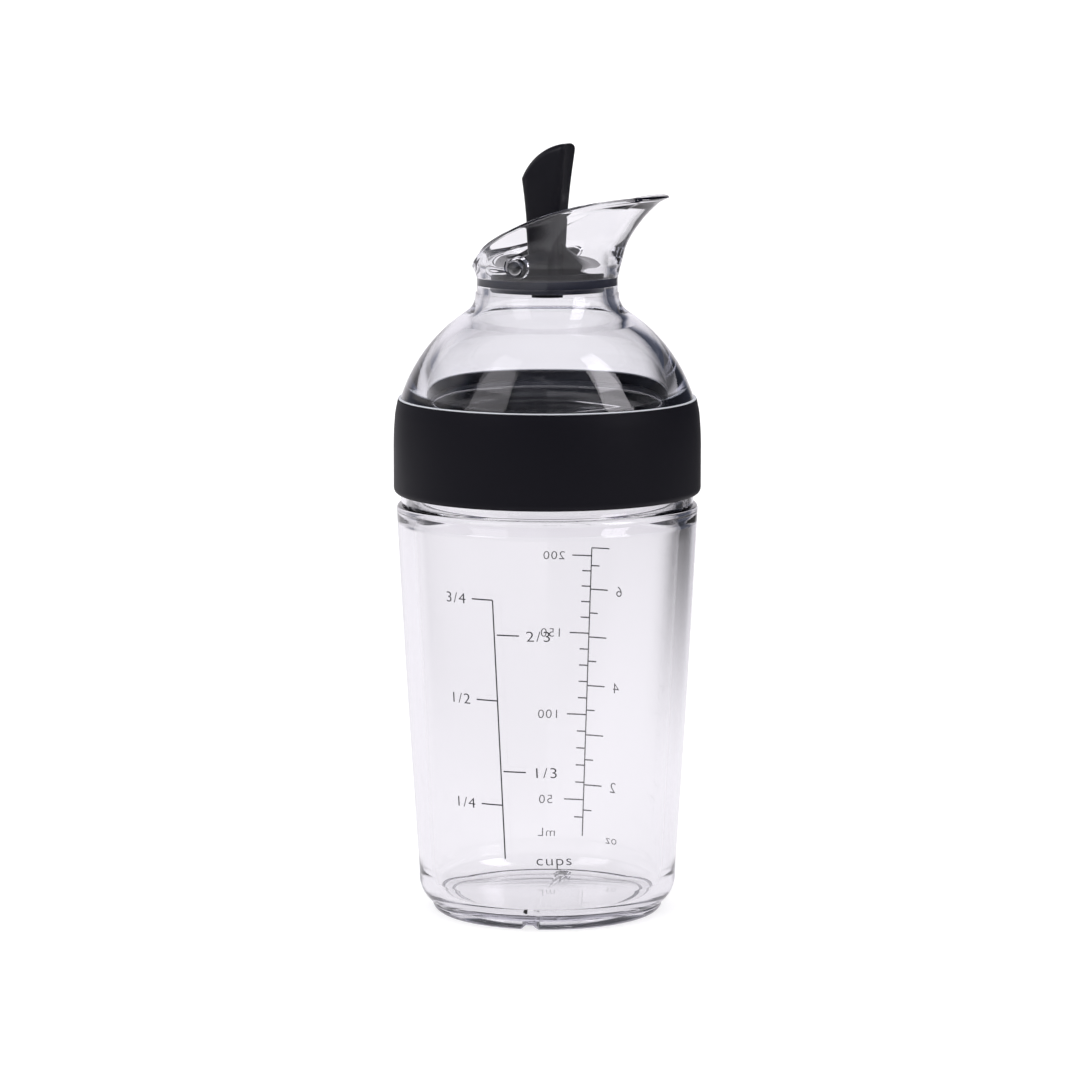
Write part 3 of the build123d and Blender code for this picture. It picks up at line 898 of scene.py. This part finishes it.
def make_seal():
    """The soft disc: its round edge is pressed against the seat."""
    plate_z = PIVOT_Z - PLATE_DROP
    bottom_z = PIVOT_Z - SEAL_DROP - SEAL_BOTTOM_DROP
    edge = [
        (ball_reach(drop, BALL_R + SEAL_PRESS), PIVOT_Z - drop)
        for drop in (PLATE_DROP, (SEAL_DROP + PLATE_DROP) / 2, SEAL_DROP)
    ]
    points = outline(
        (STUD_R, bottom_z),
        ((edge[2][0] - SEAL_BOTTOM_INSET, bottom_z), SEAL_ROUND),
        (edge[2], SEAL_ROUND),
        (edge[0], 0, edge[1]),
        ((STUD_R, plate_z), 0),
    )
    mesh = mesh_of("seal_disc", turned(points, True))
    return piece("seal_disc", mesh, "stopper", DARK_SILICONE, ("stopper_seal",))


# Printed scales


def side_radius(z):
    """The cup's outer radius at a height."""
    mid_z = (HEEL_Z + BODY_HEIGHT) / 2
    half = (BODY_HEIGHT - HEEL_Z) / 2
    share = (z - HEEL_Z) / (BODY_HEIGHT - HEEL_Z)
    bow = SIDE_BULGE * (1 - ((z - mid_z) / half) ** 2)
    return SIDE_BASE_R + (SIDE_TOP_R - SIDE_BASE_R) * share + bow


class Scale:
    """A printed scale: flat strips and words, wrapped onto the cup round its upright line."""

    def __init__(self, low_z, high_z, low_azimuth, high_azimuth):
        self.low_z, self.high_z = low_z, high_z
        self.low_azimuth, self.high_azimuth = low_azimuth, high_azimuth
        self.bm = bmesh.new()
        self.strip(-LINE_WIDTH / 2, LINE_WIDTH / 2, low_z, high_z)

    def strip(self, left, right, low, high):
        """A flat strip between two places across and two heights."""
        steps_u = max(1, math.ceil((right - left) / LINE_STEP))
        steps_v = max(1, math.ceil((high - low) / LINE_STEP))
        made = bmesh.ops.create_grid(self.bm, x_segments=steps_u, y_segments=steps_v, size=0.5)
        bmesh.ops.scale(self.bm, vec=(right - left, high - low, 1), verts=made["verts"])
        middle = ((left + right) / 2, (low + high) / 2, 0)
        bmesh.ops.translate(self.bm, vec=middle, verts=made["verts"])

    def tick(self, z, left, right):
        """A level line at a height."""
        self.strip(left, right, z - LINE_WIDTH / 2, z + LINE_WIDTH / 2)

    def word(self, text, z, centre, height):
        """A word of the given digit height, centred on a place across."""
        curve = bpy.data.curves.new("word", "FONT")
        curve.body = text
        curve.size = 1
        curve.align_x = "CENTER"
        curve.offset = WORD_THINNING
        curve.space_character = WORD_SPACING
        obj = add_object("word", curve)
        bpy.context.view_layer.update()
        graph = bpy.context.evaluated_depsgraph_get()
        mesh = bpy.data.meshes.new_from_object(obj.evaluated_get(graph))
        bpy.data.objects.remove(obj)
        size = height / DIGIT_SHARE
        spread = Matrix.Diagonal((size * WORD_WIDTH, size, size, 1))
        mesh.transform(Matrix.Translation((centre, z - height / 2, 0)) @ spread)
        self.bm.from_mesh(mesh)
        bpy.data.meshes.remove(mesh)

    def make(self, name, material):
        """Thickens the flat shapes, wraps them onto the cup and makes them a piece."""
        bm = self.bm
        bmesh.ops.remove_doubles(bm, verts=bm.verts, dist=MERGE_DISTANCE)
        for face in bm.faces:
            if face.normal.z < 0:
                face.normal_flip()
        for vert in bm.verts:
            vert.co.z = 0
        made = bmesh.ops.extrude_face_region(bm, geom=bm.faces[:])
        top = [g for g in made["geom"] if isinstance(g, bmesh.types.BMVert)]
        for vert in top:
            vert.co.z = INK_THICKNESS
        lean = (self.high_azimuth - self.low_azimuth) / (self.high_z - self.low_z)
        for vert in bm.verts:
            u, z, lift = vert.co
            radius = side_radius(z)
            azimuth = self.low_azimuth + lean * (z - self.low_z) + u / radius
            reach = radius + INK_PROUD + lift
            vert.co = (reach * math.cos(azimuth), reach * math.sin(azimuth), z)
        bmesh.ops.recalc_face_normals(bm, faces=bm.faces)
        return piece(name, mesh_of(name, bm), "cup", material)


def fill_height(volume, base, rise, bend):
    """Height of a fill mark: the cup widens upwards, so the marks come closer together."""
    return (base + rise * volume + bend * volume * volume) * MM


def make_cup_scale():
    """The upright line with the parts of a cup on both sides."""
    scale = Scale(*CUPS_LINE)
    for text, z in CUPS_LEFT_MARKS:
        scale.tick(z, -CUPS_TICK, 0)
        scale.word(text, z, -CUPS_TICK - CUPS_LEFT_WORD, CUPS_DIGIT)
    for text, z in CUPS_RIGHT_MARKS:
        scale.tick(z, CUPS_RIGHT_START, CUPS_TICK + CUPS_RIGHT_START)
        scale.word(text, z, CUPS_TICK + CUPS_RIGHT_WORD, CUPS_DIGIT)
    scale.word(*CUPS_UNIT, CUPS_DIGIT)
    return scale.make("scale_cups", INK)


def make_volume_scale():
    """The upright line with millilitres on one side and ounces on the other."""
    scale = Scale(*VOLUME_LINE)
    for volume in ML_MARKS:
        z = fill_height(volume / ML_WORD_STEP, *ML_HEIGHTS)
        long = volume % ML_WORD_STEP == 0
        scale.tick(z, 0, ML_LONG_TICK if long else ML_TICK)
        if long:
            scale.word(str(volume), z, ML_WORD, ML_DIGIT)
    scale.tick(scale.high_z, -OUNCE_LONG_TICK, 0)
    for half in HALF_OUNCE_MARKS:
        z = fill_height(half / 2, *OUNCE_HEIGHTS)
        long = half % 2 == 0
        scale.tick(z, -OUNCE_LONG_TICK if long else -OUNCE_TICK, 0)
        if half in HALF_OUNCE_WORDS:
            scale.word(str(half // 2), z, -OUNCE_WORD, OUNCE_DIGIT)
    scale.word(*ML_UNIT, ML_DIGIT)
    scale.word(*OUNCE_UNIT, ML_DIGIT)
    return scale.make("scale_volume", INK)


def dress(name, material):
    """Gives a carried-over CAD node its material and smooth shading."""
    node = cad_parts[name]
    node.data.materials.clear()
    node.data.materials.append(material)
    node.data.shade_smooth()
    weld = node.modifiers.new("weld", "WELD")
    weld.merge_threshold = MERGE_DISTANCE
    split = node.modifiers.new("edges", "EDGE_SPLIT")
    split.split_angle = SHARP_ANGLE


make_container()
make_dome()
make_collar()
make_bead()
make_seal()
make_cup_scale()
make_volume_scale()
dress("lever", BLACK_PLASTIC)
dress("lid_gasket", GASKET_SILICONE)
dress("hinge_pin", PIN_STEEL)


# Stage: floor, world, lamps and camera


def calculate(tree, operation, first, second=None):
    """A maths node on two values, each a socket or a number."""
    node = tree.nodes.new("ShaderNodeMath")
    node.operation = operation
    for socket, value in zip(node.inputs, (first, second)):
        if isinstance(value, bpy.types.NodeSocket):
            tree.links.new(value, socket)
        elif value is not None:
            socket.default_value = value
    return node.outputs["Value"]


def ramp(tree, value, low, high, start, end):
    """Goes softly from start, where value is low, to end, where it is high."""
    node = tree.nodes.new("ShaderNodeMapRange")
    node.interpolation_type = "SMOOTHSTEP"
    for name, number in (("From Min", low), ("From Max", high), ("To Min", start), ("To Max", end)):
        node.inputs[name].default_value = number
    tree.links.new(value, node.inputs["Value"])
    return node.outputs["Result"]


def panel(tree, azimuth, height, left, right, low, high, edge=PANEL_EDGE):
    """A soft-edged patch of the sky between two azimuths and two heights."""
    sides = calculate(
        tree, "MULTIPLY",
        ramp(tree, azimuth, math.radians(left), math.radians(left) + edge, 0, 1),
        ramp(tree, azimuth, math.radians(right) - edge, math.radians(right), 1, 0),
    )
    ends = calculate(
        tree, "MULTIPLY",
        ramp(tree, height, low, low + 2 * edge, 0, 1),
        ramp(tree, height, high - 2 * edge, high, 1, 0),
    )
    return calculate(tree, "MULTIPLY", sides, ends)


def parts_of(tree, vector):
    """A vector's parts as the camera has them: to the right, to the back and up."""
    turn = tree.nodes.new("ShaderNodeVectorRotate")
    turn.rotation_type = "Z_AXIS"
    turn.inputs["Angle"].default_value = -CAMERA_AZIMUTH
    split = tree.nodes.new("ShaderNodeSeparateXYZ")
    tree.links.new(vector, turn.inputs["Vector"])
    tree.links.new(turn.outputs["Vector"], split.inputs["Vector"])
    return split.outputs


def side_shade(tree, right, back, start, end, level):
    """How bright the room is towards one side: 1 straight back, level from the azimuth end on."""
    azimuth = calculate(tree, "ARCTAN2", right, back)
    if start < end:
        return ramp(tree, azimuth, math.radians(start), math.radians(end), 1, level)
    return ramp(tree, azimuth, math.radians(end), math.radians(start), level, 1)


def blend(tree, factor, first, second):
    """first where factor is 0, second where it is 1; each is a socket or a number."""
    rest = calculate(tree, "MULTIPLY", calculate(tree, "SUBTRACT", 1, factor), first)
    return calculate(tree, "ADD", calculate(tree, "MULTIPLY", factor, second), rest)


def blend_color(tree, factor, first, second):
    """A colour between two, each a socket or a colour."""
    mix = tree.nodes.new("ShaderNodeMix")
    mix.data_type = "RGBA"
    tree.links.new(factor, mix.inputs["Factor"])
    for socket, color in ((mix.inputs[6], first), (mix.inputs[7], second)):
        if isinstance(color, bpy.types.NodeSocket):
            tree.links.new(color, socket)
        else:
            socket.default_value = color
    return mix.outputs[2]


def any_ray(tree, *names):
    """1 for rays of the named kinds, else 0."""
    path = tree.nodes.new("ShaderNodeLightPath")
    value = path.outputs[names[0]]
    for name in names[1:]:
        value = calculate(tree, "MAXIMUM", value, path.outputs[name])
    return value


def make_floor():
    """A white floor. What the pieces show of it is darker at the sides and in front."""
    bm = bmesh.new()
    bmesh.ops.create_grid(bm, x_segments=4, y_segments=4, size=FLOOR_SIDE / 2)
    bmesh.ops.translate(bm, vec=(0, 0, -FLOOR_DROP), verts=bm.verts)
    floor = add_object("floor", mesh_of("floor", bm))
    material, tree, shader = new_material("pale_floor")
    shader.inputs["Roughness"].default_value = 0.9
    shader.inputs["Specular IOR Level"].default_value = 0.0
    coordinates = tree.nodes.new("ShaderNodeTexCoord")
    right, back, _ = parts_of(tree, coordinates.outputs["Object"])
    across = calculate(tree, "MULTIPLY", right, right)
    square = calculate(tree, "ADD", across, calculate(tree, "MULTIPLY", back, back))
    reach = calculate(tree, "SQRT", square)
    near, far, level = FLOOR_FRONT
    shone = ramp(tree, calculate(tree, "MULTIPLY", back, -1), near, far, 1, level)
    for start, end, level, near, far in (RIGHT_SIDE, LEFT_SIDE):
        dark = calculate(tree, "SUBTRACT", 1, side_shade(tree, right, back, start, end, level))
        dark = calculate(tree, "MULTIPLY", dark, ramp(tree, reach, near, far, 0, 1))
        shone = calculate(tree, "MULTIPLY", shone, calculate(tree, "SUBTRACT", 1, dark))
    through = any_ray(tree, "Is Glossy Ray", "Is Transmission Ray")
    color = blend_color(tree, through, FLOOR_COLOR, FLOOR_GLOW_COLOR)
    bright = blend(tree, through, 1, calculate(tree, "MULTIPLY", shone, FLOOR_SHARE))
    tree.links.new(blend_color(tree, bright, BLACK, color), shader.inputs["Base Color"])
    glow = calculate(tree, "MULTIPLY", through, calculate(tree, "MULTIPLY", shone, FLOOR_GLOW))
    seen = calculate(tree, "MULTIPLY", any_ray(tree, "Is Camera Ray"), FLOOR_LIFT)
    tree.links.new(color, shader.inputs["Emission Color"])
    tree.links.new(calculate(tree, "ADD", glow, seen), shader.inputs["Emission Strength"])
    floor.data.materials.append(material)


def make_world():
    """White to the camera and even light on the pieces. What shines in them is a white room, darker
    at the sides and dark above and in front, and two bright lamps with a dim one between them."""
    world = bpy.data.worlds.new("studio")
    bpy.context.scene.world = world
    world.use_nodes = True
    tree = world.node_tree
    background = tree.nodes["Background"]
    coordinates = tree.nodes.new("ShaderNodeTexCoord")
    right, back, height = parts_of(tree, coordinates.outputs["Generated"])
    front = calculate(tree, "MULTIPLY", back, -1)
    azimuth = calculate(tree, "ARCTAN2", right, front)
    lean = calculate(tree, "ADD", height, calculate(tree, "MULTIPLY", right, CEILING_LEAN))
    room = ramp(tree, lean, CEILING_LOW, CEILING_HIGH, 1, 0)
    room = calculate(tree, "MULTIPLY", room, side_shade(tree, right, back, *RIGHT_SIDE[:3]))
    low, high, level = LEFT_HIGH
    left_high = ramp(tree, height, low, high, 0, level)
    left = calculate(tree, "MAXIMUM", side_shade(tree, right, back, *LEFT_SIDE[:3]), left_high)
    room = calculate(tree, "MULTIPLY", room, calculate(tree, "MULTIPLY", left, ROOM_LEVEL))
    above = ramp(tree, height, 0, HORIZON_EDGE, 0, 1)
    near = calculate(tree, "MULTIPLY", ramp(tree, front, FRONT_START, FRONT_END, 0, 1), above)
    room = calculate(tree, "MULTIPLY", room, calculate(tree, "SUBTRACT", 1, near))
    shine = calculate(tree, "MAXIMUM", room, CEILING_LEVEL)
    for *edges, level in LAMP_PANELS:
        patch = panel(tree, azimuth, height, *edges)
        shine = calculate(tree, "MAXIMUM", shine, calculate(tree, "MULTIPLY", patch, level))
    path = tree.nodes.new("ShaderNodeLightPath")
    scattered = calculate(tree, "GREATER_THAN", path.outputs["Diffuse Depth"], 0.5)
    direct = path.outputs["Is Camera Ray"]
    seen = calculate(tree, "MAXIMUM", direct, scattered)
    strength = blend(tree, scattered, blend(tree, direct, shine, 1), DIFFUSE_LEVEL)
    tint = blend_color(tree, ramp(tree, shine, 0, TINT_LEVEL, 0, 1), DARK_TINT, ROOM_TINT)
    tree.links.new(blend_color(tree, seen, tint, WHITE), background.inputs["Color"])
    tree.links.new(strength, background.inputs["Strength"])


def direction(azimuth, elevation):
    """The way to an azimuth from the front and a height over the floor."""
    reach = math.cos(elevation)
    return Vector((math.sin(azimuth) * reach, -math.cos(azimuth) * reach, math.sin(elevation)))


def make_sun(name, azimuth, elevation, level, angle):
    """A soft lamp from far off. level is how bright it alone shows white that faces it."""
    light = bpy.data.lights.new(name, "SUN")
    light.energy = level * math.pi
    light.angle = math.radians(angle)
    sun = add_object(name, light)
    sun.visible_glossy = False
    sun.visible_transmission = False
    toward = direction(math.radians(azimuth), math.radians(elevation))
    sun.rotation_euler = toward.to_track_quat("Z", "Y").to_euler()


def make_camera():
    """The camera, shifted so that the axis stands where it does in the photograph."""
    data = bpy.data.cameras.new("camera")
    data.lens = LENS
    data.sensor_width = SENSOR_WIDTH
    data.shift_x = (FRAME_SIDE / 2 - AXIS_COLUMN) / FRAME_SIDE
    data.clip_start = CLIP_START
    data.clip_end = CLIP_END
    camera = add_object("camera", data)
    back = direction(CAMERA_AZIMUTH, CAMERA_PITCH)
    camera.location = Vector((0, 0, AIM_HEIGHT)) + back * CAMERA_DISTANCE
    camera.rotation_euler = back.to_track_quat("Z", "Y").to_euler()
    bpy.context.scene.camera = camera


make_floor()
make_world()
make_sun("key", *KEY_SUN)
make_sun("fill", *FILL_SUN)
make_camera()

scene = bpy.context.scene
scene.view_settings.view_transform = "Standard"
scene.cycles.max_bounces = CLEAR_BOUNCES
scene.cycles.transmission_bounces = CLEAR_BOUNCES
scene.cycles.glossy_bounces = GLOSSY_BOUNCES
scene.cycles.transparent_max_bounces = CLEAR_BOUNCES
